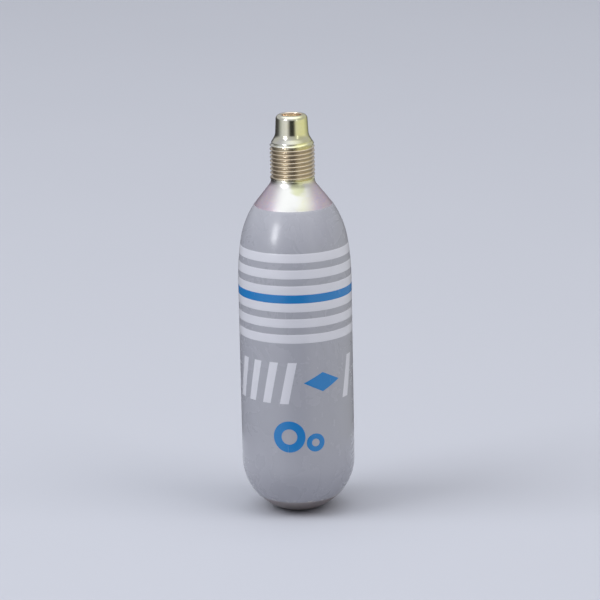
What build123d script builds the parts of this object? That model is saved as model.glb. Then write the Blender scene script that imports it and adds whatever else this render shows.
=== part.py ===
from build123d import *

import os
from math import acos, asin, cos, degrees, radians, sin, sqrt, tan

# Small threaded oxygen cartridge, the kind that screws upright into a hand torch.
#
# A one-piece drawn steel cylinder with a domed base, a long shoulder and a threaded neck.
# A pressed cap seals its mouth until the torch's pin pierces it.  The barrel is enamelled
# and printed with bands and plain marks.
#
# Millimetres, +Z up, origin at the centre of the base.  The marks face -Y.

os.makedirs("parts", exist_ok=True)

# ---------------------------------------------------------------- driving dimensions
# Enamelled barrel
barrel_radius = 20.0
barrel_top = 83.8            # height where the straight barrel ends and the shoulder starts
coat_thickness = 0.10
coat_bottom = 5.7            # height of the enamel's lower edge, on the base dome
coat_stop = 2.0              # from the enamel's upper edge up to where the straight cone starts

# Base
dome_radius = 19.3           # steel, in section
heel_radius = 3.0            # rounding between the dome and the flat it stands on
base_flat_radius = 5.3

# Shoulder, in section, from the barrel upwards
upper_barrel_curve = 92.5    # long gentle curve
upper_barrel_sweep = 8.9     # degrees it turns through
shoulder_curve = 32.1
cone_angle = 38.2            # degrees from upright

# Steel thickness
wall = 2.5
base_thickness = 3.0
bore_radius = 3.0

# Neck and thread, 5/8-18 UNF
thread_major_radius = 7.87
threads_per_inch = 18
thread_flank_angle = 30.0    # degrees, half the angle between two flanks
crest_flat_share = 1 / 8     # of the pitch
root_flat_share = 1 / 6      # of the pitch
thread_height = 12.14        # from the top of the neck to the top of the full thread
neck_step = 0.22             # the neck below the thread is this much smaller than the crests
neck_fillet = 4.0
groove_margin = 0.1          # how far the groove's section runs past the crests
groove_rise = 0.46           # how far above the top of the neck the groove starts
groove_start_angle = -45     # degrees round from +X, at the front right

# Nose above the thread
flare_angle = 32.0           # degrees from upright, the cone between the thread and the nose
flare_curve = 4.5            # rounding from that cone into the nose
nose_clearance = 1.19        # the nose is this much smaller than the thread's root
nose_taper = 2.8             # degrees
nose_height = 6.17
nose_edge_wanted = 1.5       # rounding of the top edge, less where the lip is thinner
lip_flat = 0.03              # the flat left on the lip between its two roundings

# Mouth and its sealing cap
mouth_step = 0.5             # the mouth is this much larger than the bore
mouth_edge = 0.4
lip_height = 1.9             # from the cap's flange up to the top of the nose
flange_grip = 0.4            # how far the cap's flange reaches under the lip
cap_thickness = 0.5
cap_depth = 1.3              # how far the cup hangs below its flange
cap_clearance = 0.1          # between the cup and the bore
membrane_thickness = 0.35    # the part of the cap that is pierced

# Print
ink_thickness = 0.05
band_print_rise = 13.4       # from the top of the straight barrel up to the highest band's edge
band_width = 3.17
band_gap = 2.46
blue_band_width = 3.0
bands_above_blue = 3
bands_below_blue = 3

# Places of the marks are measured round the barrel from the front, to the right
bar_places = (-23.0, -16.4, -9.8, -3.1, 21.6)
bar_width = 3.2
bar_height = 15.0
bar_lean = 12.0              # degrees
diamond_place = 9.4
diamond_width = 14.0
diamond_height = 7.0
large_ring_place = -3.1
large_ring_radius = 5.7
large_ring_stroke = 2.9
small_ring_place = 6.3
small_ring_radius = 3.3
small_ring_stroke = 1.9
share_above_bars = 0.36      # of the height that the marks leave free on the barrel
share_above_rings = 0.30

# ---------------------------------------------------------------- derived dimensions
shell_radius = barrel_radius - coat_thickness
ink_reach = coat_thickness + ink_thickness

# Base dome, an arc round a centre off the axis, rounded into the flat
dome_centre_radius = shell_radius - dome_radius
dome_centre_height = heel_radius + sqrt(
    (dome_radius - heel_radius) ** 2 - (base_flat_radius - dome_centre_radius) ** 2
)
heel_sweep = degrees(acos((dome_centre_height - heel_radius) / (dome_radius - heel_radius)))

# Cavity floor, where the inner dome meets the thickness of the base
inner_dome_radius = dome_radius - wall
inner_dome_angle = asin((dome_centre_height - base_thickness) / inner_dome_radius)
floor_radius = dome_centre_radius + inner_dome_radius * cos(inner_dome_angle)

# Shoulder
cone = radians(cone_angle)
upper_sweep = radians(upper_barrel_sweep)
cone_start_radius = (
    shell_radius
    - upper_barrel_curve * (1 - cos(upper_sweep))
    - shoulder_curve * (cos(upper_sweep) - cos(cone))
)
cone_start_height = (
    barrel_top
    + upper_barrel_curve * sin(upper_sweep)
    + shoulder_curve * (sin(cone) - sin(upper_sweep))
)
coat_top = cone_start_height - coat_stop

# Unified thread form: a sharp triangle with a flat crest and a flat root
thread_pitch = IN / threads_per_inch
flank_slope = tan(radians(thread_flank_angle))
thread_root_flat = thread_pitch * root_flat_share
thread_depth = thread_pitch * (1 - crest_flat_share - root_flat_share) / (2 * flank_slope)
thread_root_radius = thread_major_radius - thread_depth
neck_radius = thread_major_radius - neck_step

# Neck
cone_end_radius = neck_radius + neck_fillet * (1 - cos(cone))
cone_end_height = cone_start_height + (cone_start_radius - cone_end_radius) / tan(cone)
neck_height = cone_end_height + neck_fillet * sin(cone)
thread_top = neck_height + thread_height
groove_bottom = neck_height + groove_rise
groove_reach = thread_depth + groove_margin
groove_mouth = thread_root_flat + 2 * groove_reach * flank_slope

# Cone inside the neck, which ends at the bore
inner_cone_radius = cone_start_radius - wall * cos(cone)
inner_cone_height = cone_start_height - wall * sin(cone)
bore_bottom = inner_cone_height + (inner_cone_radius - bore_radius) / tan(cone)

# Flare; the groove ends within a turn below the top of the full thread
groove_turns = round((thread_top - groove_bottom) / thread_pitch - 1 / 2)
taper = radians(nose_taper)
flare = radians(flare_angle)
nose_radius = thread_root_radius - nose_clearance
flare_start_radius = nose_radius + flare_curve * (cos(taper) - cos(flare))
flare_start_height = thread_top + (thread_major_radius - flare_start_radius) / tan(flare)
flare_top = flare_start_height + flare_curve * (sin(flare) - sin(taper))

# Nose and mouth
top = flare_top + nose_height
mouth_radius = bore_radius + mouth_step
nose_top_radius = nose_radius - nose_height * tan(taper)
lip_rounding = nose_top_radius - mouth_radius - mouth_edge - lip_flat
nose_edge = min(nose_edge_wanted, lip_rounding / ((1 - sin(taper)) / cos(taper)))
nose_edge_height = top - nose_edge * (1 - sin(taper))
nose_edge_radius = nose_radius - (nose_edge_height - flare_top) * tan(taper)

# Cap
cap_flange_radius = mouth_radius + flange_grip
flange_top = top - lip_height
flange_bottom = flange_top - cap_thickness
cup_radius = bore_radius - cap_clearance
cup_bottom = flange_bottom - cap_depth

# Print, from the highest band down to the rings
band_print_top = barrel_top + band_print_rise
white_bands = bands_above_blue + bands_below_blue
band_print_height = white_bands * band_width + (white_bands - 1) * band_gap
band_print_bottom = band_print_top - band_print_height
free_height = band_print_bottom - dome_centre_height - bar_height - 2 * large_ring_radius
bar_centre_height = band_print_bottom - share_above_bars * free_height - bar_height / 2
ring_top = bar_centre_height - bar_height / 2 - share_above_rings * free_height
large_ring_height = ring_top - large_ring_radius
small_ring_height = ring_top - 2 * large_ring_radius + small_ring_radius


# ---------------------------------------------------------------- shared shapes
def barrel_and_shoulder(grow):
    """Draw the barrel and shoulder in section, grown outwards from the steel by grow."""
    barrel = Line((shell_radius + grow, dome_centre_height), (shell_radius + grow, barrel_top))
    curve = JernArc(barrel @ 1, barrel % 1, upper_barrel_curve + grow, upper_barrel_sweep)
    return JernArc(curve @ 1, curve % 1, shoulder_curve + grow, cone_angle - upper_barrel_sweep)


def base_dome(grow):
    """Draw the flat, heel and dome in section, grown outwards from the steel by grow."""
    flat = Line((0, -grow), (base_flat_radius, -grow))
    heel = JernArc(flat @ 1, flat % 1, heel_radius + grow, heel_sweep)
    return JernArc(heel @ 1, heel % 1, dome_radius + grow, 90 - heel_sweep)


def closed_section(grow):
    """Draw the half section below the cone, grown outwards by grow and closed to the axis."""
    base_dome(grow)
    shoulder = barrel_and_shoulder(grow)
    Polyline(shoulder @ 1, (0, (shoulder @ 1).Y), (0, -grow))


def make_skin(name, inner, outer, bottom, height):
    """Make a skin that follows the steel, between two depths, up from a given height."""
    with BuildPart() as piece:
        with BuildSketch(Plane.XZ):
            with BuildLine():
                closed_section(outer)
            make_face()
            with BuildLine():
                closed_section(inner)
            make_face(mode=Mode.SUBTRACT)
            with Locations((0, bottom)):
                Rectangle(shell_radius + outer, height, align=(Align.MIN, Align.MIN), mode=Mode.INTERSECT)
        revolve(axis=Axis.Z)
    finish(piece, name)


def print_plane(place, height):
    """Give the plane that touches the barrel at a place round from the front."""
    angle = place / barrel_radius
    outward = (sin(angle), -cos(angle), 0)
    rightward = (cos(angle), sin(angle), 0)
    origin = (barrel_radius * outward[0], barrel_radius * outward[1], height)
    return Plane(origin=origin, x_dir=rightward, z_dir=outward)


def lay_on_barrel():
    """Press the sketched marks through the barrel's face and keep their ink's depth."""
    extrude(amount=barrel_radius / 2, both=True)
    upright = (Align.CENTER, Align.CENTER, Align.MIN)
    Cylinder(barrel_radius + ink_thickness, barrel_top, align=upright, mode=Mode.INTERSECT)
    Cylinder(barrel_radius, barrel_top, align=upright, mode=Mode.SUBTRACT)


def finish(builder, name):
    """Name a finished piece and write it out."""
    builder.part.label = name
    export_step(builder.part, f"parts/{name}.step")


# ---------------------------------------------------------------- steel cylinder
# One turn of the right-hand groove, which is cut again and again at the thread's pitch
groove_path = (
    Location((0, 0, groove_bottom), (0, 0, groove_start_angle))
    * Helix(pitch=thread_pitch, height=thread_pitch, radius=thread_root_radius)
).edge()
groove_outward = (cos(radians(groove_start_angle)), sin(radians(groove_start_angle)), 0)

with BuildPart() as groove_turn:
    with BuildSketch(Plane(origin=groove_path @ 0, x_dir=groove_outward, z_dir=groove_path % 0)):
        with BuildLine():
            Polyline(
                (0, -thread_root_flat / 2),
                (groove_reach, -groove_mouth / 2),
                (groove_reach, groove_mouth / 2),
                (0, thread_root_flat / 2),
                close=True,
            )
        make_face()
    sweep(path=groove_path, is_frenet=True)

with BuildPart() as cylinder_body:
    with BuildSketch(Plane.XZ):
        # Outside, from the base up to the mouth
        with BuildLine():
            base_dome(0)
            shoulder = barrel_and_shoulder(0)
            cone_side = Line(shoulder @ 1, (cone_end_radius, cone_end_height))
            neck = JernArc(cone_side @ 1, cone_side % 1, neck_fillet, -cone_angle)
            thread_blank = Polyline(
                neck @ 1,
                (thread_major_radius, neck_height + neck_step * flank_slope),
                (thread_major_radius, thread_top),
                (flare_start_radius, flare_start_height),
            )
            flare_arc = JernArc(
                thread_blank @ 1, (-sin(flare), cos(flare)), flare_curve, nose_taper - flare_angle
            )
            nose = Line(flare_arc @ 1, (nose_edge_radius, nose_edge_height))
            edge = JernArc(nose @ 1, nose % 1, nose_edge, 90 - nose_taper)
            rim = Line(edge @ 1, (mouth_radius + mouth_edge, top))
            JernArc(rim @ 1, (-1, 0), mouth_edge, 90)
            Polyline((mouth_radius, top - mouth_edge), (mouth_radius, flange_top), (0, flange_top), (0, 0))
        make_face()
        # Cavity, bore and the seat of the cap
        with BuildLine():
            JernArc(
                (floor_radius, base_thickness),
                (sin(inner_dome_angle), cos(inner_dome_angle)),
                inner_dome_radius,
                degrees(inner_dome_angle),
            )
            inner_shoulder = barrel_and_shoulder(-wall)
            Polyline(
                inner_shoulder @ 1,
                (bore_radius, bore_bottom),
                (bore_radius, flange_bottom),
                (cap_flange_radius, flange_bottom),
                (cap_flange_radius, flange_top),
                (0, flange_top),
                (0, base_thickness),
                (floor_radius, base_thickness),
            )
        make_face(mode=Mode.SUBTRACT)
    revolve(axis=Axis.Z)
    # The groove starts just above the neck and ends just below the flare
    for turn in range(groove_turns):
        with Locations((0, 0, turn * thread_pitch)):
            add(groove_turn.part, mode=Mode.SUBTRACT)
finish(cylinder_body, "cylinder_body")

# ---------------------------------------------------------------- pierceable cap
with BuildPart() as sealing_cap:
    with BuildSketch(Plane.XZ):
        with BuildLine():
            Polyline(
                (0, cup_bottom),
                (cup_radius, cup_bottom),
                (cup_radius, flange_bottom),
                (cap_flange_radius, flange_bottom),
                (cap_flange_radius, flange_top),
                (cup_radius - cap_thickness, flange_top),
                (cup_radius - cap_thickness, cup_bottom + membrane_thickness),
                (0, cup_bottom + membrane_thickness),
                close=True,
            )
        face = make_face()
        cup_corner = face.vertices().group_by(Axis.Z)[0].sort_by(Axis.X)[-1]
        fillet(cup_corner, radius=cap_thickness / 2)
    revolve(axis=Axis.Z)
finish(sealing_cap, "sealing_cap")

# ---------------------------------------------------------------- enamel
make_skin("enamel_coat", 0, coat_thickness, coat_bottom, coat_top - coat_bottom)

# ---------------------------------------------------------------- printed bands
edge_height = band_print_top
for band in range(white_bands):
    if band == bands_above_blue:
        # The blue band fills the space between the white bands above and below it
        edge_height += band_gap - blue_band_width
        make_skin("blue_band", coat_thickness, ink_reach, edge_height, blue_band_width)
    edge_height -= band_width
    make_skin(f"white_band_{band + 1}", coat_thickness, ink_reach, edge_height, band_width)
    edge_height -= band_gap

# ---------------------------------------------------------------- printed marks
lean = bar_height / 2 * tan(radians(bar_lean))
with BuildPart() as slanted_bars:
    for place in bar_places:
        with BuildSketch(print_plane(place, bar_centre_height)):
            with BuildLine():
                Polyline(
                    (-lean - bar_width / 2, -bar_height / 2),
                    (-lean + bar_width / 2, -bar_height / 2),
                    (lean + bar_width / 2, bar_height / 2),
                    (lean - bar_width / 2, bar_height / 2),
                    close=True,
                )
            make_face()
    lay_on_barrel()
finish(slanted_bars, "slanted_bars")

with BuildPart() as blue_diamond:
    with BuildSketch(print_plane(diamond_place, bar_centre_height)):
        with BuildLine():
            Polyline(
                (-diamond_width / 2, 0),
                (0, -diamond_height / 2),
                (diamond_width / 2, 0),
                (0, diamond_height / 2),
                close=True,
            )
        make_face()
    lay_on_barrel()
finish(blue_diamond, "blue_diamond")

with BuildPart() as blue_rings:
    with BuildSketch(print_plane(large_ring_place, large_ring_height)):
        Circle(large_ring_radius)
        Circle(large_ring_radius - large_ring_stroke, mode=Mode.SUBTRACT)
    with BuildSketch(print_plane(small_ring_place, small_ring_height)):
        Circle(small_ring_radius)
        Circle(small_ring_radius - small_ring_stroke, mode=Mode.SUBTRACT)
    lay_on_barrel()
finish(blue_rings, "blue_rings")

print(f"total height {top:.2f}, neck at {neck_height:.2f}, thread from there to {thread_top:.2f}")
print(f"steel {cylinder_body.part.volume / 1000:.2f} cm3")
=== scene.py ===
"""Looks of a small threaded oxygen cartridge: plated steel, grey enamel and printed bands.

The steel, its enamel, its print and its cap are each a closed mesh of their own, turned
from one section or wrapped round the barrel.  Sections are drawn in millimetres.
+Z is up, and the marks face -Y.
"""

from bisect import bisect_right
from math import acos, atan2, copysign, cos, degrees, exp, hypot, pi, radians, sin, sqrt, tan

import bmesh
import bpy
from mathutils import Matrix, Vector


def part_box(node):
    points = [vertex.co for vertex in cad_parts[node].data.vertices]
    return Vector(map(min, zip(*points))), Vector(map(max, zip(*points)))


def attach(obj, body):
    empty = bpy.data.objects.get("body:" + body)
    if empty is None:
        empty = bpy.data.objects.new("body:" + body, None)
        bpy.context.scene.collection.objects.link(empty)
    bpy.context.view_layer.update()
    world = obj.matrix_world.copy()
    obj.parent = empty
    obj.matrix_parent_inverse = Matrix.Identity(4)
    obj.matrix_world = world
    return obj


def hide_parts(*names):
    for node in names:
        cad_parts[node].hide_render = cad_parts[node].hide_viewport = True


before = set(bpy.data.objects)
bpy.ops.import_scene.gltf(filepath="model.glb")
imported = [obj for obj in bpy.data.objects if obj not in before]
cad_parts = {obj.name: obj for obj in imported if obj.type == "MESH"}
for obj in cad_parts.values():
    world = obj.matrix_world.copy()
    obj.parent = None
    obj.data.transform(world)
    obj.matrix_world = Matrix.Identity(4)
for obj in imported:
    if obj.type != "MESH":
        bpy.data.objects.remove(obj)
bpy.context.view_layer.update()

MM = 0.001


# ---------------------------------------------------------------- sizes from the frame
def heights(node):
    """Give a node's lowest and highest point in millimetres."""
    low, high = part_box(node)
    return low[2] / MM, high[2] / MM


def reach(node):
    """Give a round node's radius in millimetres."""
    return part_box(node)[1][0] / MM


STEEL_RADIUS = reach("cylinder_body")
TOP = heights("cylinder_body")[1]
BARREL_RADIUS = reach("enamel_coat")
COAT_BOTTOM, COAT_TOP = heights("enamel_coat")
CUP_BOTTOM, FLANGE_TOP = heights("sealing_cap")
FLANGE_RADIUS = reach("sealing_cap")
COAT_DEPTH = BARREL_RADIUS - STEEL_RADIUS

# ---------------------------------------------------------------- section of the steel
DOME_RADIUS = 19.3
HEEL_RADIUS = 3.0
BASE_FLAT = 5.3
BARREL_TOP = 83.8
LONG_CURVE = 92.5            # the gentle curve above the barrel
LONG_SWEEP = 8.9             # degrees it turns through
SHOULDER_CURVE = 32.1
CONE_ANGLE = 38.2            # degrees from upright
NECK_FILLET = 4.0
WALL = 2.5
BASE_THICKNESS = 3.0
BASE_STEPS = 8               # rings across the base flat

PITCH = 25.4 / 18
FLANK = tan(radians(30))
CREST_RADIUS = 7.87
CREST_FLAT = PITCH / 8
ROOT_FLAT = PITCH / 6
ROOT_RADIUS = CREST_RADIUS - (PITCH - CREST_FLAT - ROOT_FLAT) / (2 * FLANK)
NECK_STEP = 0.22             # the neck below the thread is this much smaller than the crests
NECK_RADIUS = CREST_RADIUS - NECK_STEP
FULL_THREAD = 12.14          # from the top of the neck to the top of the thread
GROOVE_RISE = 0.46           # how far above the top of the neck the groove starts
GROOVE_START = 2 * pi - pi / 4   # round from +X, at the front right
GROOVE_TURNS = 8
RUN_IN = 0.42                # turns over which the cutter goes in, before the groove's start
RUN_OUT = 0.30               # turns over which it comes out, in the air round the flare
OVERRUN = 1.6                # turns past the groove's end that it takes to leave the flare
THREAD_ROUNDING = 0.16       # softens the crests and the root
THREAD_FOOT = 0.8            # how far below the top of the neck the run-in reaches

FLARE_ANGLE = 32.0           # degrees from upright, the cone between the thread and the nose
FLARE_CURVE = 4.5
NOSE_CLEARANCE = 1.19        # the nose is this much smaller than the thread's root
NOSE_RADIUS = ROOT_RADIUS - NOSE_CLEARANCE
NOSE_TAPER = 2.8             # degrees
NOSE_EDGE = 1.5              # rounding of the lip
BORE_RADIUS = 3.0
MOUTH_RADIUS = 3.5
MOUTH_EDGE = 0.4
CAP_SHEET = 0.5
CAP_CLEARANCE = 0.1          # between the cup and the bore
MEMBRANE = 0.35
FLANGE_BOTTOM = FLANGE_TOP - CAP_SHEET

INK_FOOT = 0.0               # depths of a printed mark above the enamel
INK_EDGE = 0.015
INK_TOP = 0.035

COLUMNS = 192                # facets round every turned piece
ROWS_PER_PITCH = 18
SKIN_ROW = 0.9               # height of a row of faces up a skin
SKIN_EDGE = 0.9              # rounding of a skin's edges, as a share of its thickness
EDGE_TURNS = (0, 22.5, 45, 67.5)
SWELL_REACH = 0.45           # how far a swell goes in from the edge
SAME_POINT = 0.0015          # corners nearer than this are one
TOO_SHORT = 0.0005           # edges under this are taken out
SHARP_ANGLE = radians(40)
TINY = 1e-6


class Pen:
    """Draws a half section: radius across, height up, headings in degrees from +radius."""

    def __init__(self, radius, height, heading=0.0):
        self.points = [(radius, height)]
        self.heading = heading

    def line(self, radius, height, steps=1):
        """Draw straight to a point."""
        from_radius, from_height = self.points[-1]
        for step in range(1, steps + 1):
            share = step / steps
            self.points.append((
                from_radius + (radius - from_radius) * share,
                from_height + (height - from_height) * share,
            ))
        self.heading = degrees(atan2(height - from_height, radius - from_radius))

    def arc(self, radius, sweep, steps):
        """Draw an arc that leaves along the heading and turns left for a positive sweep."""
        side = copysign(90, sweep)
        spoke = radians(self.heading + side)
        across, up = self.points[-1]
        centre = (across + radius * cos(spoke), up + radius * sin(spoke))
        for step in range(1, steps + 1):
            spoke = radians(self.heading - side + sweep * step / steps)
            self.points.append((centre[0] + radius * cos(spoke), centre[1] + radius * sin(spoke)))
        self.heading += sweep


def draw_base_and_shoulder(depth):
    """Draw the dome, barrel and shoulder outside the steel by a depth, up to the cone."""
    pen = Pen(0, -depth)
    dome_centre = STEEL_RADIUS - DOME_RADIUS
    dome_height = HEEL_RADIUS + sqrt(
        (DOME_RADIUS - HEEL_RADIUS) ** 2 - (BASE_FLAT - dome_centre) ** 2
    )
    heel_sweep = degrees(acos((dome_height - HEEL_RADIUS) / (DOME_RADIUS - HEEL_RADIUS)))
    pen.line(BASE_FLAT, -depth, steps=BASE_STEPS)
    pen.arc(HEEL_RADIUS + depth, heel_sweep, steps=8)
    pen.arc(DOME_RADIUS + depth, 90 - heel_sweep, steps=44)
    pen.line(STEEL_RADIUS + depth, BARREL_TOP, steps=24)
    pen.arc(LONG_CURVE + depth, LONG_SWEEP, steps=16)
    pen.arc(SHOULDER_CURVE + depth, CONE_ANGLE - LONG_SWEEP, steps=24)
    return pen


def draw_neck(pen):
    """Draw the cone and the fillet where it meets the neck."""
    fillet_end = NECK_RADIUS + NECK_FILLET * (1 - cos(radians(CONE_ANGLE)))
    radius, height = pen.points[-1]
    pen.line(fillet_end, height + (radius - fillet_end) / tan(radians(CONE_ANGLE)), steps=14)
    pen.arc(NECK_FILLET, -CONE_ANGLE, steps=16)


def draw_thread_blank(pen):
    """Draw the blank that the thread is cut in, and the flare above it."""
    neck_height = pen.points[-1][1]
    flare = radians(FLARE_ANGLE)
    thread_top = neck_height + FULL_THREAD
    flare_radius = NOSE_RADIUS + FLARE_CURVE * (cos(radians(NOSE_TAPER)) - cos(flare))
    pen.line(CREST_RADIUS, neck_height + NECK_STEP * FLANK, steps=2)
    pen.line(CREST_RADIUS, thread_top, steps=4)
    pen.line(flare_radius, thread_top + (CREST_RADIUS - flare_radius) / tan(flare), steps=8)
    pen.arc(FLARE_CURVE, NOSE_TAPER - FLARE_ANGLE, steps=16)


def draw_nose_and_mouth(pen):
    """Draw the nose, its rounded lip and the mouth down to the cap's seat."""
    taper = radians(NOSE_TAPER)
    radius, height = pen.points[-1]
    edge_height = TOP - NOSE_EDGE * (1 - sin(taper))
    pen.line(radius - (edge_height - height) * tan(taper), edge_height, steps=14)
    pen.arc(NOSE_EDGE, 90 - NOSE_TAPER, steps=16)
    pen.line(MOUTH_RADIUS + MOUTH_EDGE, TOP)
    pen.arc(MOUTH_EDGE, 90, steps=8)
    pen.line(MOUTH_RADIUS, FLANGE_TOP, steps=4)


def draw_inside(pen):
    """Draw the seat of the cap, the bore and the cavity down to the middle of its floor."""
    pen.line(FLANGE_RADIUS, FLANGE_TOP)
    pen.line(FLANGE_RADIUS, FLANGE_BOTTOM)
    pen.line(BORE_RADIUS, FLANGE_BOTTOM)
    cavity = [point for point in draw_base_and_shoulder(-WALL).points if point[1] > BASE_THICKNESS]
    cone_radius, cone_height = cavity[-1]
    rise = (cone_radius - BORE_RADIUS) / tan(radians(CONE_ANGLE))
    pen.line(BORE_RADIUS, cone_height + rise, steps=10)
    pen.points += cavity[::-3]   # every third point is enough where nobody sees
    pen.line(0, pen.points[-1][1], steps=6)


# ---------------------------------------------------------------- tables of radius by height
def radius_at(section, height):
    """Give the radius of a section that rises all the way, at a height."""
    rises = [point[1] for point in section]
    place = min(max(bisect_right(rises, height), 1), len(rises) - 1)
    (r0, z0), (r1, z1) = section[place - 1], section[place]
    share = min(max((height - z0) / (z1 - z0), 0), 1)
    return r0 + (r1 - r0) * share


outline = draw_base_and_shoulder(0)
draw_neck(outline)
NECK_HEIGHT = outline.points[-1][1]
THREAD_TOP = NECK_HEIGHT + FULL_THREAD
draw_thread_blank(outline)
FLARE_TOP = outline.points[-1][1]
BELOW_THREAD = [point for point in outline.points if point[1] < NECK_HEIGHT - THREAD_FOOT]
BLANK = outline.points[len(BELOW_THREAD) - 1:]   # they share one point
OUTSIDE = BELOW_THREAD[BASE_STEPS:]   # from the edge of the base flat upwards, always rising


def off_steel(height, depth):
    """Give the point a depth outside the steel, at a height on its surface."""
    step = 0.05
    lean = (radius_at(OUTSIDE, height - step) - radius_at(OUTSIDE, height + step)) / (2 * step)
    slope = hypot(1, lean)
    return radius_at(OUTSIDE, height) + depth / slope, height + depth * lean / slope


# ---------------------------------------------------------------- meshes
def make_piece(name, shape, slot, material, *nodes):
    """Turn a bmesh in millimetres into a piece that rides on the cartridge."""
    bmesh.ops.remove_doubles(shape, verts=shape.verts, dist=SAME_POINT)
    bmesh.ops.dissolve_degenerate(shape, edges=shape.edges, dist=TOO_SHORT)
    bmesh.ops.recalc_face_normals(shape, faces=shape.faces)
    mesh = bpy.data.meshes.new(name)
    bmesh.ops.scale(shape, vec=(MM, MM, MM), verts=shape.verts)
    shape.to_mesh(mesh)
    shape.free()
    mesh.polygons.foreach_set("use_smooth", [True] * len(mesh.polygons))
    mesh.set_sharp_from_angle(angle=SHARP_ANGLE)
    piece = bpy.data.objects.new(name, mesh)
    bpy.context.scene.collection.objects.link(piece)
    mesh.materials.append(material)
    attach(piece, "root")
    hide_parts(*nodes)
    return piece


def add_ring(shape, radius, height):
    """Add one ring of corners, or a single one on the axis."""
    if radius < TINY:
        return [shape.verts.new((0, 0, height))] * COLUMNS
    return [
        shape.verts.new((
            radius * cos(2 * pi * column / COLUMNS), radius * sin(2 * pi * column / COLUMNS), height,
        ))
        for column in range(COLUMNS)
    ]


def add_face(shape, *corners):
    """Add a face between corners, some of which may be the same."""
    different = []
    for corner in corners:
        if corner not in different:
            different.append(corner)
    if len(different) > 2:
        shape.faces.new(different)


def join_rings(shape, lower, upper):
    """Join two rings with faces."""
    for column in range(COLUMNS):
        after = (column + 1) % COLUMNS
        add_face(shape, lower[column], lower[after], upper[after], upper[column])


def turn(shape, section, closed=False):
    """Turn a half section about the axis, and give its first and last rings."""
    rings = [add_ring(shape, *point) for point in section]
    for lower, upper in zip(rings, rings[1:]):
        join_rings(shape, lower, upper)
    if closed:
        join_rings(shape, rings[-1], rings[0])
    return rings[0], rings[-1]


def soft_least(one, other, rounding):
    """Give the smaller of two radii, rounded where they cross."""
    overlap = max(rounding - abs(one - other), 0) / rounding
    return min(one, other) - overlap * overlap * rounding / 4


def ease(share):
    """Go smoothly from 0 to 1."""
    share = min(max(share, 0), 1)
    return share * share * (3 - 2 * share)


def thread_radius(angle, height):
    """Give the steel's radius in the thread, from its blank and its right-hand groove."""
    along = (angle - GROOVE_START) / (2 * pi)
    turns = (height - NECK_HEIGHT - GROOVE_RISE) / PITCH - along
    nearest = round(turns)
    from_root = abs(turns - nearest) * PITCH - ROOT_FLAT / 2
    cut = ease((nearest + along + RUN_IN) / RUN_IN)
    cut *= ease((GROOVE_TURNS + OVERRUN - nearest - along) / RUN_OUT)
    shallow = (1 - cut) * (CREST_RADIUS - ROOT_RADIUS + THREAD_ROUNDING)
    groove = ROOT_RADIUS - soft_least(-from_root / FLANK, 0, THREAD_ROUNDING) + shallow
    return soft_least(radius_at(BLANK, height), groove, THREAD_ROUNDING)


def add_thread(shape):
    """Cut the thread with rows that climb at its pitch, and give its first and last rings."""
    low, high = BLANK[0][1], FLARE_TOP
    rows = int((high - low) / PITCH * ROWS_PER_PITCH) + 2 * ROWS_PER_PITCH
    columns = []
    for column in range(COLUMNS):
        angle = 2 * pi * column / COLUMNS
        corners = []
        for row in range(rows):
            climb = PITCH * (row / ROWS_PER_PITCH + column / COLUMNS - 1)
            height = min(max(low + climb, low), high)
            if corners and abs(corners[-1].co.z - height) < TINY:
                corners.append(corners[-1])
                continue
            radius = thread_radius(angle, height)
            corners.append(shape.verts.new((radius * cos(angle), radius * sin(angle), height)))
        columns.append(corners)
    # Beyond the last column the climb has gained one pitch, so its rows meet later ones
    columns.append(columns[0][ROWS_PER_PITCH:] + [columns[0][-1]] * ROWS_PER_PITCH)
    for here, after in zip(columns, columns[1:]):
        for row in range(rows - 1):
            add_face(shape, here[row], after[row], after[row + 1], here[row + 1])
    return [corners[0] for corners in columns[:-1]], [corners[-1] for corners in columns[:-1]]


def make_steel(material):
    """Make the one-piece cylinder: base, barrel, shoulder, thread, nose and cavity."""
    shape = bmesh.new()
    _, neck_ring = turn(shape, BELOW_THREAD[:-1])
    thread_foot, thread_head = add_thread(shape)
    join_rings(shape, neck_ring, thread_foot)
    inside = Pen(*BLANK[-1], 90 + NOSE_TAPER)
    draw_nose_and_mouth(inside)
    draw_inside(inside)
    nose_ring, _ = turn(shape, inside.points[1:])
    join_rings(shape, thread_head, nose_ring)
    return make_piece("steel_cylinder", shape, "plated_steel", material, "cylinder_body")


def make_cap(material):
    """Make the pressed cap, a small cup with a flange and a thin floor."""
    shape = bmesh.new()
    cup = BORE_RADIUS - CAP_CLEARANCE
    hollow = cup - CAP_SHEET
    bend = CAP_SHEET / 2
    pen = Pen(0, CUP_BOTTOM)
    pen.line(cup - bend, CUP_BOTTOM, steps=8)
    pen.arc(bend, 90, steps=8)
    pen.line(cup, FLANGE_BOTTOM, steps=2)
    pen.line(FLANGE_RADIUS, FLANGE_BOTTOM, steps=3)
    pen.line(FLANGE_RADIUS, FLANGE_TOP, steps=1)
    pen.line(hollow + bend, FLANGE_TOP, steps=4)
    pen.arc(bend, 90, steps=8)
    pen.line(hollow, CUP_BOTTOM + MEMBRANE + bend / 2, steps=3)
    pen.arc(bend / 2, -90, steps=6)
    pen.line(0, CUP_BOTTOM + MEMBRANE, steps=8)
    turn(shape, pen.points)
    return make_piece("pierceable_cap", shape, "plated_cap", material, "sealing_cap")


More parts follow.
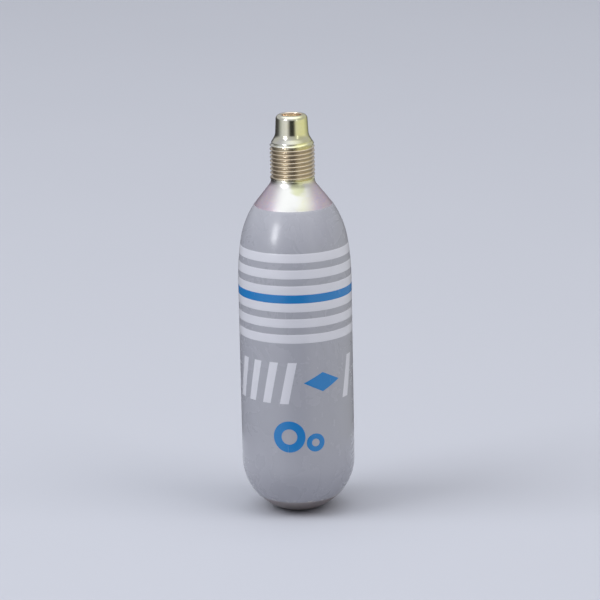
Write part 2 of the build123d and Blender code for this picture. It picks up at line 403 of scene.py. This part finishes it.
def make_skin(name, bottom, top, inner, outer, slot, material, node, swell=0.0):
    """Make a skin round the cylinder between two depths, with rounded upper and lower edges.

    A swell thickens the skin near its edges, as enamel does where it stops.
    """
    shape = bmesh.new()
    thickness = outer - inner
    edge = thickness * SKIN_EDGE
    rows = max(6, int((top - bottom) / SKIN_ROW))
    stations = [
        (bottom + edge * (1 - cos(radians(turned))), sin(radians(turned))) for turned in EDGE_TURNS
    ]
    stations += [
        (bottom + edge + (top - bottom - 2 * edge) * row / rows, 1.0) for row in range(rows + 1)
    ]
    stations += [
        (top - edge * (1 - cos(radians(turned))), sin(radians(turned))) for turned in EDGE_TURNS[::-1]
    ]
    outside = []
    for height, fullness in stations:
        near_edge = min(height - bottom, top - height)
        extra = swell * exp(-(near_edge / SWELL_REACH) ** 2)
        outside.append(off_steel(height, inner + (thickness + extra) * fullness))
    inside = [off_steel(bottom + (top - bottom) * row / rows, inner) for row in range(rows + 1)]
    turn(shape, outside + list(reversed(inside))[1:-1], closed=True)
    return make_piece(name, shape, slot, material, node)


def add_patch(shape, grid):
    """Add a patch of ink on the enamel, from a grid of places round the barrel and heights.

    A grid whose first and last rows are the same goes all the way round, like a ring.
    """
    goes_round = grid[0] == grid[-1]
    last_row, last_place = len(grid) - 1, len(grid[0]) - 1

    def corner(layer, row, place):
        across, height = grid[row][place]
        border = place in (0, last_place) or (not goes_round and row in (0, last_row))
        radius = BARREL_RADIUS + (INK_EDGE if border and layer == INK_TOP else layer)
        angle = across / BARREL_RADIUS - pi / 2
        return shape.verts.new((radius * cos(angle), radius * sin(angle), height))

    corners = {
        (layer, row, place): corner(layer, row, place)
        for layer in (INK_FOOT, INK_TOP)
        for row in range(last_row + 1)
        for place in range(last_place + 1)
    }
    for layer in (INK_FOOT, INK_TOP):
        for row in range(last_row):
            for place in range(last_place):
                shape.faces.new([
                    corners[layer, row, place], corners[layer, row, place + 1],
                    corners[layer, row + 1, place + 1], corners[layer, row + 1, place],
                ])
    sides = [[(row, place) for row in range(last_row + 1)] for place in (0, last_place)]
    if not goes_round:
        sides += [[(row, place) for place in range(last_place + 1)] for row in (0, last_row)]
    for side in sides:
        for here, after in zip(side, side[1:]):
            shape.faces.new([
                corners[(INK_FOOT, *here)], corners[(INK_FOOT, *after)],
                corners[(INK_TOP, *after)], corners[(INK_TOP, *here)],
            ])


def make_mark(name, patches, slot, material, node):
    """Make one piece of the patches of a printed mark."""
    shape = bmesh.new()
    for grid in patches:
        add_patch(shape, grid)
    return make_piece(name, shape, slot, material, node)


def bar_patch(place, height, width, length, lean):
    """Give the grid of one slanted bar."""
    steps_across, steps_up = 8, 30
    return [[
        (
            place + (step / steps_across - 0.5) * width + (row / steps_up - 0.5) * length * tan(lean),
            height + (row / steps_up - 0.5) * length,
        )
        for step in range(steps_across + 1)
    ] for row in range(steps_up + 1)]


def diamond_patch(place, height, width, length):
    """Give the grid of a diamond, built in upright lines from tip to tip."""
    steps_across, steps_up = 32, 10
    return [[
        (
            place + (line / steps_across - 0.5) * width,
            height + (step / steps_up - 0.5) * length * (1 - abs(2 * line / steps_across - 1)),
        )
        for step in range(steps_up + 1)
    ] for line in range(steps_across + 1)]


def ring_patch(place, height, radius, stroke):
    """Give the grid of a ring, built in spokes."""
    spokes, steps = 96, 5
    return [[
        (
            place + (radius - stroke * step / steps) * cos(2 * pi * (spoke % spokes) / spokes),
            height + (radius - stroke * step / steps) * sin(2 * pi * (spoke % spokes) / spokes),
        )
        for step in range(steps + 1)
    ] for spoke in range(spokes + 1)]


# ---------------------------------------------------------------- shader nodes
def feed(tree, socket, value):
    """Link a socket to another node's output, or set its own value."""
    if isinstance(value, bpy.types.NodeSocket):
        tree.links.new(value, socket)
    else:
        socket.default_value = value


def put(tree, kind, inputs=None, **settings):
    """Add a node, set its options, and feed its inputs."""
    node = tree.nodes.new(kind)
    for key, value in settings.items():
        setattr(node, key, value)
    for key, value in (inputs or {}).items():
        feed(tree, node.inputs[key], value)
    return node


def maths(tree, operation, *values, clamp=False):
    """Add a Math node and give its result."""
    inputs = dict(enumerate(values))
    return put(tree, "ShaderNodeMath", inputs, operation=operation, use_clamp=clamp).outputs[0]


def fade(tree, value, low, high, to_low=0.0, to_high=1.0):
    """Map a value smoothly from one range to another."""
    return put(tree, "ShaderNodeMapRange", {
        "Value": value, "From Min": low, "From Max": high, "To Min": to_low, "To Max": to_high,
    }, interpolation_type="SMOOTHSTEP").outputs["Result"]


def blend(tree, share, one, other, how="MIX"):
    """Mix two colours by a share."""
    inputs = {0: share, 6: one, 7: other}   # the sockets that a colour mix shows
    return put(tree, "ShaderNodeMix", inputs, data_type="RGBA", blend_type=how).outputs[2]


def lay_over(tree, colour, mask, strength, over):
    """Lay a second colour over the first where a mask is, up to a strength."""
    return blend(tree, maths(tree, "MULTIPLY", mask, strength), colour, over)


def noise(tree, place, scale, detail=3.0, roughness=0.5, distortion=0.0):
    """Add a noise texture and give its value."""
    return put(tree, "ShaderNodeTexNoise", {
        "Vector": place, "Scale": scale,
        "Detail": detail, "Roughness": roughness, "Distortion": distortion,
    }).outputs["Fac"]


def bump(tree, height, strength, distance):
    """Turn a height into a normal."""
    return put(tree, "ShaderNodeBump", {
        "Height": height, "Strength": strength, "Distance": distance,
    }).outputs["Normal"]


def rgb(red, green, blue):
    """Give a colour with full opacity."""
    return red, green, blue, 1.0


def new_group(name, inputs, outputs):
    """Start a shader group with named sockets, and give it with its two ends."""
    group = bpy.data.node_groups.new(name, "ShaderNodeTree")
    for label, kind, default in inputs:
        socket = group.interface.new_socket(label, in_out="INPUT", socket_type=kind)
        if default is not None:
            socket.default_value = default
    for label, kind in outputs:
        group.interface.new_socket(label, in_out="OUTPUT", socket_type=kind)
    return group, group.nodes.new("NodeGroupInput"), group.nodes.new("NodeGroupOutput")


def put_out(group, end, values):
    """Link a group's results to its outputs by name."""
    for label, value in values.items():
        group.links.new(value, end.inputs[label])


def use(tree, group, **inputs):
    """Place a shader group in a material, and give its outputs."""
    named = {key.replace("_", " "): value for key, value in inputs.items()}
    return put(tree, "ShaderNodeGroup", named, node_tree=group).outputs


def start_material(name):
    """Start a material, and give its tree, its shader and the place on the object in metres."""
    material = bpy.data.materials.new(name)
    material.use_nodes = True
    tree = material.node_tree
    place = put(tree, "ShaderNodeTexCoord").outputs["Object"]
    return material, tree, tree.nodes["Principled BSDF"], place


def set_shader(tree, shader, **inputs):
    """Feed inputs of the shader by name."""
    for key, value in inputs.items():
        feed(tree, shader.inputs[key.replace("_", " ")], value)


# ---------------------------------------------------------------- shared surface effects
def make_scuffs():
    """Hairline scratches, smudges and dust: what handling leaves on any finish."""
    group, start, end = new_group("scuffs", [
        ("Place", "NodeSocketVector", None),
        ("Scratches", "NodeSocketFloat", 0.5),
        ("Smudges", "NodeSocketFloat", 0.5),
    ], [("Scratch", "NodeSocketFloat"), ("Smudge", "NodeSocketFloat"), ("Dust", "NodeSocketFloat")])
    place = start.outputs["Place"]
    drawn = put(group, "ShaderNodeMapping", {
        "Vector": place, "Rotation": (0.35, 0.15, 0.0), "Scale": (1.0, 1.0, 0.03),
    }).outputs[0]
    hairlines = fade(group, noise(group, drawn, 2600.0, 0.0), 0.70, 0.76)
    broken = fade(group, noise(group, place, 150.0, 2.0), 0.56, 0.68)
    scratch = maths(group, "MULTIPLY", hairlines, broken)
    cloud = fade(group, noise(group, place, 95.0, 4.0, 0.6, 0.6), 0.42, 0.7)
    specks = put(group, "ShaderNodeTexVoronoi", {"Vector": place, "Scale": 700.0}).outputs["Distance"]
    rare = fade(group, noise(group, place, 260.0, 1.0), 0.6, 0.66)
    dust = maths(group, "MULTIPLY", fade(group, specks, 0.16, 0.07), rare)
    put_out(group, end, {
        "Scratch": maths(group, "MULTIPLY", scratch, start.outputs["Scratches"]),
        "Smudge": maths(group, "MULTIPLY", cloud, start.outputs["Smudges"]),
        "Dust": dust,
    })
    return group


def make_flow():
    """The slow wave and fine orange peel of a sprayed or printed coat that has flowed out."""
    group, start, end = new_group("flow", [
        ("Place", "NodeSocketVector", None),
        ("Peel Scale", "NodeSocketFloat", 700.0),
        ("Peel", "NodeSocketFloat", 0.3),
    ], [("Height", "NodeSocketFloat"), ("Tone", "NodeSocketFloat")])
    place = start.outputs["Place"]
    wave = noise(group, place, 55.0, 1.0)
    peel = put(group, "ShaderNodeTexNoise", {
        "Vector": place, "Scale": start.outputs["Peel Scale"], "Detail": 1.5,
    }).outputs["Fac"]
    put_out(group, end, {
        "Height": maths(group, "ADD", wave, maths(group, "MULTIPLY", peel, start.outputs["Peel"])),
        "Tone": noise(group, place, 34.0, 4.0, 0.55),
    })
    return group


def make_passivation():
    """The drifting tints of chromate on bright plating: straw, pink and violet over silver."""
    group, start, end = new_group("passivation", [
        ("Place", "NodeSocketVector", None),
        ("Straw", "NodeSocketFloat", 0.3),
        ("Pink", "NodeSocketFloat", 0.0),
    ], [("Tint", "NodeSocketColor"), ("Mottle", "NodeSocketFloat")])
    place = start.outputs["Place"]
    stretched = put(group, "ShaderNodeMapping", {"Vector": place, "Scale": (1.0, 1.0, 2.2)}).outputs[0]
    drift = noise(group, stretched, 130.0, 3.0, 0.55, 1.2)
    streak = noise(group, stretched, 800.0, 3.0)
    uneven = maths(group, "MULTIPLY_ADD", drift, 0.9, -0.45)
    straw = maths(group, "ADD", start.outputs["Straw"], uneven, clamp=True)
    tint = blend(group, straw, rgb(0.85, 0.85, 0.83), rgb(0.88, 0.86, 0.48))
    violet = blend(group, fade(group, streak, 0.35, 0.65), rgb(0.86, 0.71, 0.80), rgb(0.78, 0.68, 0.84))
    pink = maths(group, "MULTIPLY", start.outputs["Pink"], fade(group, drift, 0.25, 0.60, 0.5, 1.0))
    put_out(group, end, {"Tint": blend(group, pink, tint, violet), "Mottle": drift})
    return group


SCUFFS = make_scuffs()
FLOW = make_flow()
PASSIVATION = make_passivation()


# ---------------------------------------------------------------- materials
def make_enamel():
    """Grey stoved enamel: glossy, faintly uneven, dusty, worn where it ends, with a painted highlight along
    that lower edge.
    """
    material, tree, shader, place = start_material("grey_enamel")
    flow = use(tree, FLOW, Place=place, Peel_Scale=620.0, Peel=0.12)
    scuffs = use(tree, SCUFFS, Place=place, Scratches=0.3, Smudges=0.5)
    height = put(tree, "ShaderNodeSeparateXYZ", {"Vector": place}).outputs["Z"]
    foot = fade(tree, height, (COAT_BOTTOM + 1.3) * MM, (COAT_BOTTOM + 0.1) * MM)
    ragged = fade(tree, noise(tree, place, 900.0, 3.0), 0.50, 0.62)
    # The enamel's lower edge is lightened: partly wear, partly a painted highlight along the raised edge.
    worn_edge_and_highlight = maths(tree, "MULTIPLY", foot, ragged)
    colour = blend(tree, flow["Tone"], rgb(0.410, 0.414, 0.458), rgb(0.446, 0.450, 0.496))
    # Painted shade: the enamel's colour darkens towards the bottom of the barrel, standing in for the shade
    # that falls low on it.
    painted_low_shade = fade(tree, height, 26.0 * MM, COAT_BOTTOM * MM, 0.0, 0.22)
    colour = blend(tree, painted_low_shade, colour, rgb(0.22, 0.21, 0.22))
    colour = lay_over(tree, colour, scuffs["Scratch"], 0.35, rgb(0.62, 0.62, 0.63))
    colour = lay_over(tree, colour, scuffs["Dust"], 0.4, rgb(0.68, 0.67, 0.66))
    colour = lay_over(tree, colour, worn_edge_and_highlight, 0.8, rgb(0.66, 0.65, 0.62))
    rough = maths(tree, "MULTIPLY_ADD", scuffs["Smudge"], 0.08, 0.26)
    rough = maths(tree, "ADD", rough, maths(tree, "MULTIPLY", scuffs["Scratch"], 0.25))
    relief = maths(tree, "SUBTRACT", flow["Height"], maths(tree, "MULTIPLY", scuffs["Scratch"], 0.3))
    normal = bump(tree, relief, 0.1, 0.00004)
    set_shader(tree, shader, Base_Color=colour, Roughness=rough, Normal=normal)
    set_shader(tree, shader, Coat_Weight=0.2, Coat_Roughness=0.18, IOR=1.5)
    return material


def make_ink(name, dark, light):
    """Gloss screen ink: flat colour with a faint mesh, thin spots and the enamel's wave."""
    material, tree, shader, place = start_material(name)
    flow = use(tree, FLOW, Place=place, Peel_Scale=950.0, Peel=0.30)
    scuffs = use(tree, SCUFFS, Place=place, Scratches=0.5, Smudges=0.5)
    thin = fade(tree, noise(tree, place, 1500.0, 2.0), 0.70, 0.76)
    colour = blend(tree, flow["Tone"], dark, light)
    colour = lay_over(tree, colour, thin, 0.18, rgb(0.45, 0.45, 0.47))
    colour = lay_over(tree, colour, scuffs["Scratch"], 0.30, rgb(0.45, 0.45, 0.46))
    rough = maths(tree, "MULTIPLY_ADD", scuffs["Smudge"], 0.10, 0.22)
    rough = maths(tree, "ADD", rough, maths(tree, "MULTIPLY", scuffs["Scratch"], 0.22))
    normal = bump(tree, flow["Height"], 0.12, 0.00005)
    set_shader(tree, shader, Base_Color=colour, Roughness=rough, Normal=normal)
    set_shader(tree, shader, Coat_Weight=0.2, Coat_Roughness=0.14, IOR=1.5)
    return material


RUN_PLACE = Vector((2.0, -8.6, NECK_HEIGHT - 1.8)) * MM   # on the front of the neck


def make_plating(name, straw_left, straw_right):
    """Bright zinc plating under thin chromate: pink on the cone's sides, brown in the thread."""
    material, tree, shader, place = start_material(name)
    split = put(tree, "ShaderNodeSeparateXYZ", {"Vector": place}).outputs
    scuffs = use(tree, SCUFFS, Place=place, Scratches=0.8, Smudges=0.7)
    off_axis = put(tree, "ShaderNodeCombineXYZ", {"X": split["X"], "Y": split["Y"]}).outputs[0]
    radius = put(tree, "ShaderNodeVectorMath", {0: off_axis}, operation="LENGTH").outputs["Value"]

    side = fade(tree, maths(tree, "ABSOLUTE", split["X"]), 3.5 * MM, 9.5 * MM)
    cone = fade(tree, split["Z"], (NECK_HEIGHT + 0.3) * MM, (NECK_HEIGHT - 1.5) * MM)
    straw = fade(tree, split["X"], -3.0 * MM, 4.0 * MM, straw_left, straw_right)
    straw = maths(tree, "MULTIPLY_ADD", cone, -0.55, straw)
    tint = use(tree, PASSIVATION, Place=place, Straw=straw, Pink=maths(tree, "MULTIPLY", side, cone))
    colour = tint["Tint"]

    # A run of chromate that dried in the neck, and the thread's brown film; the thread's colour is darker
    # towards the root
    run = put(tree, "ShaderNodeVectorMath", {0: place, 1: RUN_PLACE}, operation="DISTANCE").outputs["Value"]
    run = maths(tree, "MULTIPLY_ADD", tint["Mottle"], -2.4 * MM, run)
    colour = blend(tree, fade(tree, run, 2.4 * MM, 0.6 * MM, 0.0, 0.8), colour, rgb(0.66, 0.68, 0.40))
    foot = fade(tree, split["Z"], NECK_HEIGHT * MM, (NECK_HEIGHT + 0.8) * MM)
    head = fade(tree, split["Z"], (THREAD_TOP - 0.2) * MM, (THREAD_TOP - 0.9) * MM)
    thread = maths(tree, "MULTIPLY", foot, head)
    brown = blend(tree, tint["Mottle"], rgb(0.74, 0.63, 0.51), rgb(0.92, 0.84, 0.67))
    root = fade(tree, radius, (ROOT_RADIUS + 0.5) * MM, ROOT_RADIUS * MM, 0.0, 0.45)
    brown = blend(tree, root, brown, rgb(0.26, 0.22, 0.18))
    colour = blend(tree, thread, colour, brown)
    mouth = fade(tree, radius, (MOUTH_RADIUS + 0.7) * MM, MOUTH_RADIUS * MM)
    warm = maths(tree, "MULTIPLY", mouth, fade(tree, split["Z"], CUP_BOTTOM * MM, FLANGE_TOP * MM))
    copper = blend(tree, tint["Mottle"], rgb(0.92, 0.77, 0.62), rgb(0.95, 0.88, 0.76))
    colour = blend(tree, warm, colour, copper)

    # Painted shade: the bare base dome gets a dark colour that stands in for the shaded floor it mirrors,
    # not a different finish.
    base = fade(tree, split["Z"], (COAT_BOTTOM + 0.5) * MM, (COAT_BOTTOM - 0.5) * MM)
    painted_base_shade = blend(tree, tint["Mottle"], rgb(0.34, 0.33, 0.32), rgb(0.46, 0.40, 0.41))
    colour = blend(tree, base, colour, painted_base_shade)
    colour = lay_over(tree, colour, scuffs["Dust"], 0.3, rgb(0.35, 0.33, 0.28))
    rough = maths(tree, "MULTIPLY_ADD", tint["Mottle"], 0.14, 0.10)
    for mask, duller in ((cone, 0.20), (scuffs["Smudge"], 0.10), (thread, 0.12), (base, 0.16)):
        rough = maths(tree, "ADD", rough, maths(tree, "MULTIPLY", mask, duller))
    grain = noise(tree, place, 2600.0, 2.0)
    relief = maths(tree, "SUBTRACT", grain, maths(tree, "MULTIPLY", scuffs["Scratch"], 0.8))
    set_shader(tree, shader, Base_Color=colour, Metallic=1.0, Roughness=rough)
    set_shader(tree, shader, Normal=bump(tree, relief, 0.2, 0.00002))
    return material


# ---------------------------------------------------------------- the cartridge
plated_steel = make_plating("plated_steel", straw_left=0.20, straw_right=0.85)
plated_cap = make_plating("plated_cap", straw_left=0.30, straw_right=0.55)
grey_enamel = make_enamel()
white_ink = make_ink("white_ink", rgb(0.73, 0.73, 0.78), rgb(0.78, 0.78, 0.83))
blue_ink = make_ink("blue_ink", rgb(0.010, 0.200, 0.530), rgb(0.014, 0.235, 0.590))

make_steel(plated_steel)
make_cap(plated_cap)
COAT_SWELL = 0.05            # where the enamel stops it stands a little thicker
make_skin(
    "enamel", COAT_BOTTOM, COAT_TOP, 0.0, COAT_DEPTH, "grey_enamel", grey_enamel, "enamel_coat",
    COAT_SWELL,
)

bands = sorted(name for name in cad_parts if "band" in name)
for node in bands:
    blue = node.startswith("blue")
    bottom, top = heights(node)
    make_skin(
        "print_" + node, bottom, top, COAT_DEPTH, COAT_DEPTH + INK_TOP,
        "blue_ink" if blue else "white_ink", blue_ink if blue else white_ink, node,
    )

bars_low, bars_high = heights("slanted_bars")
bars_middle = (bars_low + bars_high) / 2
BAR_PLACES = (-23.0, -16.4, -9.8, -3.1, 21.6)
BAR_WIDTH = 3.2
BAR_LEAN = radians(12.0)
make_mark(
    "print_bars",
    [bar_patch(place, bars_middle, BAR_WIDTH, bars_high - bars_low, BAR_LEAN) for place in BAR_PLACES],
    "white_ink", white_ink, "slanted_bars",
)

DIAMOND_PLACE = 9.4
DIAMOND_WIDTH = 14.0
diamond_low, diamond_high = heights("blue_diamond")
make_mark(
    "print_diamond",
    [diamond_patch(DIAMOND_PLACE, bars_middle, DIAMOND_WIDTH, diamond_high - diamond_low)],
    "blue_ink", blue_ink, "blue_diamond",
)

rings_low, rings_high = heights("blue_rings")
LARGE_RING = (rings_high - rings_low) / 2
LARGE_RING_PLACE, LARGE_RING_STROKE = -3.1, 2.9
SMALL_RING = 3.3
SMALL_RING_PLACE, SMALL_RING_STROKE = 6.3, 1.9
make_mark(
    "print_rings",
    [
        ring_patch(LARGE_RING_PLACE, rings_low + LARGE_RING, LARGE_RING, LARGE_RING_STROKE),
        ring_patch(SMALL_RING_PLACE, rings_low + SMALL_RING, SMALL_RING, SMALL_RING_STROKE),
    ],
    "blue_ink", blue_ink, "blue_rings",
)


# ---------------------------------------------------------------- floor
NEAR_FLOOR = 0.10            # metres


def make_sheet():
    """Pale matt card with a fine tooth."""
    material, tree, shader, place = start_material("pale_sheet")
    grain = noise(tree, place, 900.0, 3.0)
    colour = blend(tree, noise(tree, place, 6.0, 2.0), rgb(0.545, 0.558, 0.612), rgb(0.560, 0.573, 0.627))
    set_shader(tree, shader, Base_Color=colour, Roughness=0.6, Normal=bump(tree, grain, 0.1, 0.0001))
    set_shader(tree, shader, Specular_IOR_Level=0.25)
    return material


def make_floor(name, material, *radii):
    """Lay a flat sheet round the middle, in rings between radii in metres."""
    shape = bmesh.new()
    spokes = 96
    angles = [2 * pi * spoke / spokes for spoke in range(spokes)]
    rings = [
        [shape.verts.new((radius * cos(angle), radius * sin(angle), 0)) for angle in angles]
        for radius in radii
    ]
    for inner, outer in zip(rings, rings[1:]):
        for spoke in range(spokes):
            after = (spoke + 1) % spokes
            shape.faces.new((inner[spoke], outer[spoke], outer[after], inner[after]))
    mesh = bpy.data.meshes.new(name)
    shape.to_mesh(mesh)
    shape.free()
    floor = bpy.data.objects.new(name, mesh)
    bpy.context.scene.collection.objects.link(floor)
    mesh.materials.append(material)
    return floor


pale_sheet = make_sheet()
make_floor("floor", pale_sheet, 0.0001, 0.02, 0.06, NEAR_FLOOR)
# The glossy surfaces mirror the room's dark gaps instead of the sheet further out
make_floor("floor_beyond", pale_sheet, NEAR_FLOOR, 0.3, 0.8, 2.0, 7.0).visible_glossy = False


# ---------------------------------------------------------------- studio
def add_softbox(name, azimuth, elevation, distance, width, height, power, colour):
    """Hang a soft light that faces the cartridge; azimuth is round from the front, to the right."""
    light = bpy.data.lights.new(name, "AREA")
    light.shape = "RECTANGLE"
    light.size, light.size_y = width, height
    light.energy = power
    light.color = colour
    lamp = bpy.data.objects.new(name, light)
    bpy.context.scene.collection.objects.link(lamp)
    aim = Vector((0, 0, TOP * MM / 2))
    around, up = radians(azimuth), radians(elevation)
    direction = Vector((sin(around) * cos(up), -cos(around) * cos(up), sin(up)))
    lamp.location = aim + direction * distance
    lamp.rotation_euler = direction.to_track_quat("Z", "Y").to_euler()
    lamp.visible_camera = False
    return lamp


# Degrees round and up, metres away, across and high, watts, colour.
# The key and the strip are only mirrored; the overhead and the walls only light
for sheen in (
    add_softbox("key", -46, 24, 1.8, 0.36, 0.70, 10.0, (0.97, 0.98, 1.0)),
    add_softbox("strip", 39, 20, 1.8, 0.26, 0.80, 0.6, (0.97, 0.98, 1.0)),
):
    sheen.visible_diffuse = False
for fill in (
    add_softbox("overhead", 0, 82, 3.0, 2.8, 2.8, 33.0, (0.97, 0.98, 0.99)),
    add_softbox("left_wall", -72, 45, 2.4, 1.4, 1.4, 28.0, (0.95, 0.97, 1.0)),
    add_softbox("right_wall", 64, 45, 2.4, 1.4, 1.4, 15.5, (1.0, 0.98, 0.97)),
):
    fill.visible_glossy = False


def spread_colours(ramp, colours):
    """Set the stops of a colour ramp."""
    while len(ramp.elements) < len(colours):
        ramp.elements.new(0.5)
    for element, (position, colour) in zip(ramp.elements, colours):
        element.position = position
        element.color = colour


def make_room():
    """Light from the room: pale round about, with the dark gaps that bright metal mirrors."""
    world = bpy.data.worlds.new("room")
    bpy.context.scene.world = world
    world.use_nodes = True
    tree = world.node_tree
    shader = tree.nodes["Background"]
    way = put(tree, "ShaderNodeTexCoord").outputs["Generated"]
    split = put(tree, "ShaderNodeSeparateXYZ", {"Vector": way}).outputs
    around = maths(tree, "ARCTAN2", split["X"], maths(tree, "MULTIPLY", split["Y"], -1.0))
    share = maths(tree, "MULTIPLY_ADD", around, 1 / (2 * pi), 0.5)
    ramp = put(tree, "ShaderNodeValToRGB", {"Fac": share})
    # The way round goes from behind over the left, the front (0.5) and the right to behind
    spread_colours(ramp.color_ramp, (
        (0.000, rgb(0.10, 0.10, 0.11)), (0.142, rgb(0.04, 0.04, 0.04)), (0.205, rgb(0.10, 0.10, 0.10)),
        (0.255, rgb(0.36, 0.37, 0.36)), (0.310, rgb(0.62, 0.63, 0.62)), (0.405, rgb(0.76, 0.75, 0.75)),
        (0.470, rgb(0.03, 0.03, 0.03)), (0.540, rgb(0.03, 0.03, 0.03)), (0.590, rgb(0.74, 0.73, 0.64)),
        (0.760, rgb(0.72, 0.72, 0.60)), (0.860, rgb(0.40, 0.40, 0.34)), (0.950, rgb(0.10, 0.10, 0.10)),
        (1.000, rgb(0.10, 0.10, 0.11)),
    ))
    halfway_up = fade(tree, split["Z"], 0.02, 0.28)
    room = blend(tree, halfway_up, ramp.outputs["Color"], rgb(0.48, 0.48, 0.50))
    room = blend(tree, fade(tree, split["Z"], 0.60, 0.95), room, rgb(1.35, 1.38, 1.40))
    ray = put(tree, "ShaderNodeLightPath").outputs
    colour = blend(tree, ray["Is Diffuse Ray"], room, rgb(0.42, 0.43, 0.46), "MULTIPLY")
    colour = blend(tree, ray["Is Camera Ray"], colour, rgb(0.60, 0.64, 0.72))
    tree.links.new(colour, shader.inputs["Color"])
    shader.inputs["Strength"].default_value = 1.0


make_room()

# ---------------------------------------------------------------- camera
FOCAL_LENGTH = 212.1
CAMERA_DISTANCE = 1.25
CAMERA_ELEVATION = radians(14.4)
CAMERA_ROLL = radians(-1.19)
CAMERA_AIM = Vector((1.65, 0.0, 75.96)) * MM

lens = bpy.data.cameras.new("camera")
lens.sensor_width = 36.0
lens.lens = FOCAL_LENGTH
lens.clip_start, lens.clip_end = 0.05, 30.0
camera = bpy.data.objects.new("camera", lens)
bpy.context.scene.collection.objects.link(camera)
back = Vector((0, -cos(CAMERA_ELEVATION), sin(CAMERA_ELEVATION)))
turned = back.to_track_quat("Z", "Y").to_matrix() @ Matrix.Rotation(CAMERA_ROLL, 3, "Z")
camera.matrix_world = Matrix.Translation(CAMERA_AIM + back * CAMERA_DISTANCE) @ turned.to_4x4()
bpy.context.scene.camera = camera
bpy.context.scene.view_settings.view_transform = "Standard"
